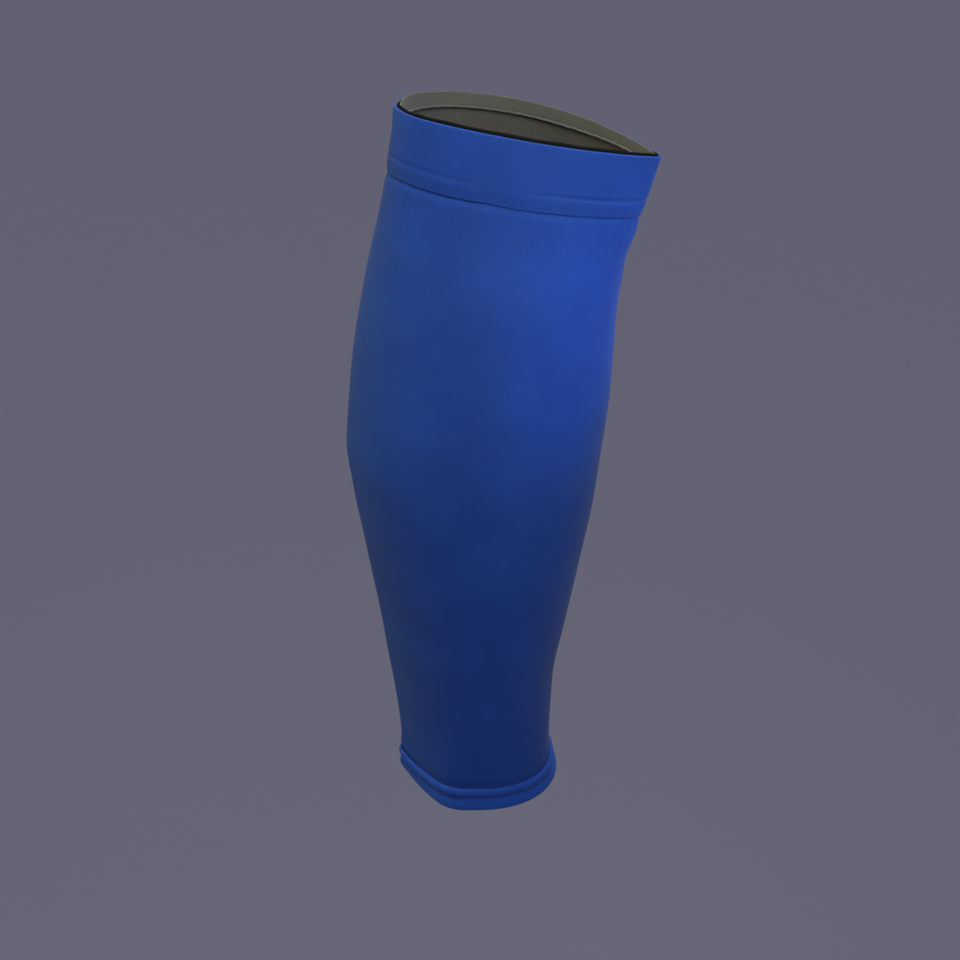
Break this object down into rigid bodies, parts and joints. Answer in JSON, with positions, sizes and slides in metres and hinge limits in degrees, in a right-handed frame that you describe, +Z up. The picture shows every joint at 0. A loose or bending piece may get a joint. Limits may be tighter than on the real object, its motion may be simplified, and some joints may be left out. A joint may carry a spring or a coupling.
{
  "type": "calf compression sleeve",
  "caption": "Knitted calf compression sleeve, open at both ends, shaped to the lower leg, with a folded knee band, an elastic rim and a rolled ankle hem.",
  "frame": {"origin": "on the leg's long axis, inside the sleeve, level with the fullest girth of the calf", "axes": "+Z up the leg to the knee, +X to the shin, -X to the calf muscle, -Y the side that faces the viewer"},
  "size_m": [0.135, 0.107, 0.3492],
  "materials": {
    "blue_knit": "matt fine rib knit, blue face and grey back",
    "band_knit": "matt fine rib knit, folded double",
    "black_elastic": "matt woven elastic",
    "grey_tape": "matt knitted tape",
    "hem_knit": "matt fine rib knit, turned up and rolled"
  },
  "bodies": {
    "root": {"calf_tube": "blue_knit", "knee_band": "band_knit", "rim_elastic": "black_elastic", "rim_facing": "grey_tape", "ankle_hem": "hem_knit"}
  },
  "joints": []
}
